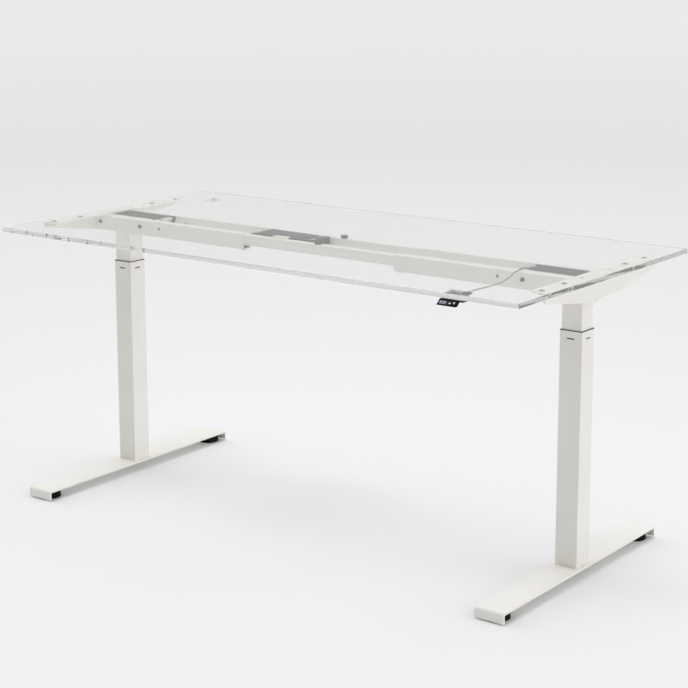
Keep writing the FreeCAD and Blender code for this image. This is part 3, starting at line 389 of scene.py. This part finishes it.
def add_desktop(materials):
    """The clear slab with its cable hole, polished edges and rounded corners."""
    low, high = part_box("tabletop")
    shape = bmesh.new()
    outline = []
    for turn, (x, y) in enumerate(((high.x, high.y), (low.x, high.y), (low.x, low.y), (high.x, low.y))):
        centre = (x - math.copysign(TOP_CORNER, x), y - math.copysign(TOP_CORNER, y))
        outline += quarter(centre, TOP_CORNER, turn, 8)
    bottom = low.z + TOP_SEAT_GAP
    loops = []
    for points in (outline, ring(GROMMET, GROMMET_RADIUS, 96)):
        corners = [shape.verts.new((x, y, bottom)) for x, y in points]
        loops += [shape.edges.new((a, b)) for a, b in zip(corners, corners[1:] + corners[:1])]
    bmesh.ops.triangle_fill(shape, use_beauty=True, edges=loops, normal=(0, 0, -1))
    base = shape.faces[:]
    raised = bmesh.ops.extrude_face_region(shape, geom=base)
    moved = [v for v in raised["geom"] if isinstance(v, bmesh.types.BMVert)]
    bmesh.ops.translate(shape, verts=moved, vec=(0, 0, high.z - bottom))
    bmesh.ops.dissolve_limit(shape, angle_limit=math.radians(0.5), verts=shape.verts, edges=shape.edges)
    bmesh.ops.recalc_face_normals(shape, faces=shape.faces)
    rims = [e for e in shape.edges if e.calc_face_angle(0) > math.radians(70)]
    bmesh.ops.bevel(shape, geom=rims, offset=TOP_POLISH, segments=2, affect="EDGES", clamp_overlap=True)
    top = add_piece("desktop", mesh_of(shape, "desktop"), materials["clear_top"], "lift_frame")
    smooth_by_angle(top, 30)
    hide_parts("tabletop")


# ---------------------------------------------------------------- seal rings
RING_PLACES = [(0.765 * side, FRAME_MIDDLE + y) for side in (-1, 1) for y in (-0.240, -0.143, 0.143, 0.240)]
RING_POINTS = 48
RING_SECTION = [(0.0042, 0.73301), (0.0072, 0.73301), (0.0071, 0.73315), (0.0043, 0.73315)]  # radius, height


def add_seal_rings(materials):
    """Thin rubber rings round the screws, between the brackets and the desktop."""
    shape = bmesh.new()
    for place in RING_PLACES:
        loops = [[shape.verts.new((x, y, level)) for x, y in ring(place, radius, RING_POINTS)]
                 for radius, level in RING_SECTION]
        for here, there in zip(loops, loops[1:] + loops[:1]):
            for i in range(RING_POINTS):
                j = (i + 1) % RING_POINTS
                shape.faces.new((here[i], here[j], there[j], there[i]))
    bmesh.ops.recalc_face_normals(shape, faces=shape.faces)
    rings = add_piece("seal_rings", mesh_of(shape, "seal_rings"), materials["black_rubber"], "lift_frame")
    smooth_by_angle(rings, 40)


# ---------------------------------------------------------------- small moulded parts
RAIL_OUT = 0.055
GUIDE_HALF_WIDTH = 0.0115
GUIDE_BODY = ((0.257, 0.264), (0.6902, 0.6998))  # spans outwards and up
GUIDE_NOSE = ((0.244, 0.257), (0.6902, 0.6928))


def boxes_mesh(name, boxes):
    """Several boxes, each (x, y, z) spans in metres, in one mesh."""
    shape = bmesh.new()
    for spans in boxes:
        made = bmesh.ops.create_cube(shape, size=1)["verts"]
        size = [high - low for low, high in spans]
        middle = Vector([(low + high) / 2 for low, high in spans])
        bmesh.ops.scale(shape, vec=size, verts=made)
        bmesh.ops.translate(shape, vec=middle, verts=made)
    return mesh_of(shape, name)


def add_rail_guides(materials):
    """Guides in the rails' mouths: a body set back inside and a low nose under the slimmer tube."""
    boxes = []
    for side in (-1, 1):
        for row in (-1, 1):
            middle = FRAME_MIDDLE + row * RAIL_OUT
            y = (middle - GUIDE_HALF_WIDTH, middle + GUIDE_HALF_WIDTH)
            boxes += [(sorted(side * x for x in out), y, z) for out, z in (GUIDE_BODY, GUIDE_NOSE)]
    guides = add_piece("rail_guide_noses", boxes_mesh("rail_guide_noses", boxes),
                       materials["black_plastic"], "lift_frame")
    bevel_edges(guides, 0.6 * MM, 2)
    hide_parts("rail_guides")


# painted highlights: places of the pale caps that stand in for two glints on the lid
LID_GLINT_CAPS = [(-0.046, -0.025), (-0.060, 0.022)]
LID_LEVEL = 0.7285
CAP_PROFILE = [(0, 0), (5.5, 0), (5.5, 0.5), (4.8, 1.0), (1.2, 1.1), (0.8, 0.6), (0, 0.6)]  # mm above the lid


def add_lid_glint_caps(materials):
    """Two pale domed caps on the control box's lid: painted highlights that stand in for two glints there."""
    for i, (x, y) in enumerate(LID_GLINT_CAPS):
        profile = [(radius * MM, LID_LEVEL + height * MM) for radius, height in CAP_PROFILE]
        mesh = turned(f"lid_cap_{i}", profile, Vector((x, y, 0)), 48)
        cap = add_piece(f"lid_cap_{i}", mesh, materials["pale_plastic"], "lift_frame")
        smooth_by_angle(cap, 40)


# ---------------------------------------------------------------- levelling glides
STUD_PITCH = 1.25 * MM
STUD_DEPTH = 0.6 * MM


def glide_profile(low, high, radius):
    """A pad with a gripped rim, domed top and collar, and its threaded stud."""
    rim, collar, stud = radius - 0.8 * MM, 9 * MM, 5 * MM
    pad_top = low + 17.4 * MM
    points = [(0, low), (radius - 3 * MM, low), (radius - 1 * MM, low + 0.4 * MM),
              (radius, low + 1.6 * MM), (radius, low + 4.6 * MM), (radius - 0.5 * MM, low + 5.2 * MM),
              (rim, low + 5.5 * MM, True), (rim, low + 11.5 * MM, True)]
    for step in range(1, 8):
        angle = math.radians(90 * step / 7)
        points.append((rim - 7 * MM * (1 - math.cos(angle)), low + 11.5 * MM + 5 * MM * math.sin(angle)))
    points += [(collar + 2 * MM, pad_top - 0.4 * MM), (collar, pad_top), (collar, low + 17.9 * MM),
               (stud, low + 17.9 * MM)]
    level = low + 18.1 * MM
    while level + STUD_PITCH < high - 1 * MM:
        points += [(stud - STUD_DEPTH, level + STUD_PITCH / 2), (stud, level + STUD_PITCH)]
        level += STUD_PITCH
    return points + [(stud - 1 * MM, high), (0, high)]


def add_glides(materials):
    for end in ENDS:
        for side in SIDES:
            node = f"glide_{end}_{side}"
            low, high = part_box(node)
            profile = glide_profile(low.z, high.z, (high.x - low.x) / 2)
            mesh = turned(node + "_pad", profile, (low + high) / 2, 4 * GLIDE_GRIPS)
            pad = add_piece(node + "_pad", mesh, materials["black_rubber"], node)
            smooth_by_angle(pad, 40)
            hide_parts(node)


# ---------------------------------------------------------------- handset face
FACE_CENTRE = Vector((613.5, -392.5, 721.5)) * MM
FACE_ALONG = Vector((1, 0, 0))
FACE_UP = Vector((0, 14, 12)).normalized()
FACE_OUT = Vector((0, -12, 14)).normalized()
WINDOW_SPAN = ((-22.9, -1.1), (-4.9, 4.9))
WINDOW_CORNER = 1.2
WINDOW_DEPTH = 1.2
READOUT_BLOCKS = (-21.0, -15.2, -9.4)
READOUT_WIDTH = 5.0
READOUT_LEVELS = (-2.9, 0.0, 2.9)
READOUT_HALF_HEIGHT = 0.85
READOUT_CORNER = 0.3
MARK_HEIGHT = 0.06
KEY_PROUD = 0.8
ARROWS = {"key_up": (6.5, 1), "key_down": (17.0, -1)}
ARROW_HALF = 4.0
ARROW_RISE = 3.2


def box_outline(x, y, corner):
    """Corners of a rectangle rounded by that radius, counter-clockwise."""
    outline = []
    for turn, (cx, cy) in enumerate(((x[1], y[1]), (x[0], y[1]), (x[0], y[0]), (x[1], y[0]))):
        centre = (cx - math.copysign(corner, cx - sum(x) / 2), cy - math.copysign(corner, cy - sum(y) / 2))
        outline += quarter(centre, corner, turn, 6)
    return outline


def face_piece(name, outlines, under, over, material, body):
    """Flat shapes on the handset's face, from depth under it to height over it, in millimetres."""
    shape = bmesh.new()
    for outline in outlines:
        levels = [[shape.verts.new(FACE_CENTRE + (FACE_ALONG * x + FACE_UP * y + FACE_OUT * level) * MM)
                   for x, y in outline] for level in (-under, over)]
        shape.faces.new(levels[0][::-1])
        shape.faces.new(levels[1])
        for low, high, next_low, next_high in zip(*levels, *(row[1:] + row[:1] for row in levels)):
            shape.faces.new((low, next_low, next_high, high))
    bmesh.ops.recalc_face_normals(shape, faces=shape.faces)
    piece = add_piece(name, mesh_of(shape, name), material, body)
    bevel_edges(piece, 0.02 * MM, 2)
    return piece


def add_handset_face(materials):
    """The smoked window with plain bars for its read-out, and an arrow on each key."""
    window = face_piece("display_window", [box_outline(*WINDOW_SPAN, WINDOW_CORNER)], WINDOW_DEPTH, 0,
                        materials["window_plastic"], "lift_frame")
    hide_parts("handset_window")
    bars = [box_outline((left, left + READOUT_WIDTH),
                        (level - READOUT_HALF_HEIGHT, level + READOUT_HALF_HEIGHT), READOUT_CORNER)
            for left in READOUT_BLOCKS for level in READOUT_LEVELS]
    face_piece("display_bars", bars, 0, MARK_HEIGHT, materials["lit_marks"], "lift_frame")
    for key, (x, way) in ARROWS.items():
        arrow = [(x - ARROW_HALF, -way * ARROW_RISE), (x + ARROW_HALF, -way * ARROW_RISE),
                 (x, way * ARROW_RISE)][::way]
        face_piece(key + "_arrow", [arrow], -KEY_PROUD, KEY_PROUD + MARK_HEIGHT,
                           materials["lit_marks"], key)


# ---------------------------------------------------------------- handset lead
LEAD_DIAMETER = 0.0032
LEAD_ROUTE = [
    (0.6255, -0.3230, 0.7260), (0.6246, -0.3020, 0.7259), (0.6215, -0.2760, 0.7248),
    (0.6170, -0.2380, 0.7215), (0.6095, -0.1920, 0.7186), (0.6050, -0.1480, 0.7184),
    (0.6005, -0.1120, 0.7232), (0.5960, -0.0820, 0.7300), (0.5915, -0.0380, 0.7310),
    (0.5865, -0.0140, 0.7265), (0.5850, 0.0060, 0.7240),
]


def add_lead(materials):
    data = bpy.data.curves.new("lead", "CURVE")
    data.dimensions = "3D"
    data.bevel_depth = LEAD_DIAMETER / 2
    data.bevel_resolution = 6
    data.resolution_u = 16
    data.use_fill_caps = True
    spline = data.splines.new("NURBS")
    spline.points.add(len(LEAD_ROUTE) - 1)
    for point, place in zip(spline.points, LEAD_ROUTE):
        point.co = (*place, 1)
    spline.order_u = 3
    spline.use_endpoint_u = True
    lead = bpy.data.objects.new("lead", data)
    bpy.context.collection.objects.link(lead)
    data.materials.append(materials["grey_lead"])
    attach(lead, "lift_frame")
    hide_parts("handset_lead")


# ---------------------------------------------------------------- studio
WORLD_TONES = ((0.0, 0.30), (0.5, 0.55), (1.0, 0.84))  # from the camera's side to behind the desk
FLOOR_SIZE = 300
FLOOR_SPAN = 24.0
# painted pool of light: the floor's colour is brightest near the desk
FLOOR_LIGHT_POOL_TONES = ((1.2, 0.855), (2.8, 0.815), (7.5, 0.741), (20.0, 0.795))  # by distance from the desk
FLOOR_BLUE = 1.008
BACKDROP_RADIUS, BACKDROP_HEIGHT, BACKDROP_TONE = 60.0, 40.0, 0.827
# strength, azimuth from +X towards +Y, elevation and spread, in degrees
SUNS = {"key": (0.78, 15, 24, 60), "side": (1.0, 182, 14, 50), "top": (0.98, 200, 84, 36)}
BOUNCES, CLEAR_BOUNCES = 64, 32


def add_floor():
    """Pale sweep with a painted pool of light: its colour is brightest round the desk."""
    bpy.ops.mesh.primitive_plane_add(size=FLOOR_SIZE, location=(0, 0, 0))
    floor = bpy.context.object
    floor.name = "floor"
    n = Nodes("studio_floor", Roughness=0.85)
    n.shader.inputs["Specular IOR Level"].default_value = 0.1
    away = n.add("ShaderNodeVectorMath", operation="LENGTH")
    n.link(n.place, away.inputs[0])
    span = n.math("DIVIDE", away.outputs["Value"], FLOOR_SPAN)
    # painted pool of light in the floor's colour, changing with distance from the desk
    n.feed("Base Color", n.ramp(span, [(at / FLOOR_SPAN, (tone, tone, tone * FLOOR_BLUE))
                                       for at, tone in FLOOR_LIGHT_POOL_TONES]))
    floor.data.materials.append(n.material)


def add_backdrop():
    """A pale wall far round the floor that only the camera sees, so low views have no dark horizon."""
    shape = bmesh.new()
    circle = ring((0, 0), BACKDROP_RADIUS, 96)
    low, high = ([shape.verts.new((x, y, z)) for x, y in circle] for z in (-0.5, BACKDROP_HEIGHT))
    for i in range(len(circle)):
        shape.faces.new((low[i - 1], low[i], high[i], high[i - 1]))
    mesh = mesh_of(shape, "backdrop")
    n = Nodes("studio_backdrop")
    glow = n.add("ShaderNodeEmission")
    glow.inputs["Color"].default_value = (BACKDROP_TONE, BACKDROP_TONE, BACKDROP_TONE, 1)
    n.link(glow.outputs["Emission"], n.output.inputs["Surface"])
    mesh.materials.append(n.material)
    wall = bpy.data.objects.new("backdrop", mesh)
    bpy.context.collection.objects.link(wall)
    wall.visible_diffuse = wall.visible_glossy = wall.visible_transmission = False
    wall.visible_shadow = False


def add_sun(name, strength, azimuth, elevation, spread):
    """A lamp far away that leaves no mirror image."""
    data = bpy.data.lights.new(name, "SUN")
    data.energy = strength
    data.angle = math.radians(spread)
    lamp = bpy.data.objects.new(name, data)
    a, e = math.radians(azimuth), math.radians(elevation)
    towards = Vector((math.cos(a) * math.cos(e), math.sin(a) * math.cos(e), math.sin(e)))
    lamp.rotation_euler = towards.to_track_quat("Z", "Y").to_euler()
    lamp.visible_glossy = lamp.visible_transmission = False
    bpy.context.collection.objects.link(lamp)


def add_world():
    """Soft surroundings, bright behind the desk and dim on the camera's side."""
    world = bpy.data.worlds.new("studio")
    bpy.context.scene.world = world
    world.use_nodes = True
    tree = world.node_tree
    coordinates = tree.nodes.new("ShaderNodeTexCoord")
    split = tree.nodes.new("ShaderNodeSeparateXYZ")
    depth = tree.nodes.new("ShaderNodeMapRange")
    depth.inputs["From Min"].default_value = -1
    ramp = tree.nodes.new("ShaderNodeValToRGB")
    elements = ramp.color_ramp.elements
    elements.new(0.5)
    for element, (position, tone) in zip(elements, WORLD_TONES):
        element.position, element.color = position, (tone, tone, tone, 1)
    tree.links.new(coordinates.outputs["Generated"], split.inputs["Vector"])
    tree.links.new(split.outputs["Y"], depth.inputs["Value"])
    tree.links.new(depth.outputs["Result"], ramp.inputs["Fac"])
    tree.links.new(ramp.outputs["Color"], tree.nodes["Background"].inputs["Color"])


def add_studio():
    add_floor()
    add_backdrop()
    add_world()
    for name, (strength, azimuth, elevation, spread) in SUNS.items():
        add_sun(name, strength, azimuth, elevation, spread)
    scene = bpy.context.scene
    scene.view_settings.view_transform = "Standard"
    scene.cycles.max_bounces = BOUNCES
    scene.cycles.glossy_bounces = BOUNCES
    scene.cycles.transmission_bounces = BOUNCES
    scene.cycles.transparent_max_bounces = CLEAR_BOUNCES


add_camera()
materials = make_materials()
add_lead(materials)
dress_nodes(materials)
add_desktop(materials)
add_seal_rings(materials)
add_rail_guides(materials)
add_lid_glint_caps(materials)
add_glides(materials)
add_handset_face(materials)
add_studio()
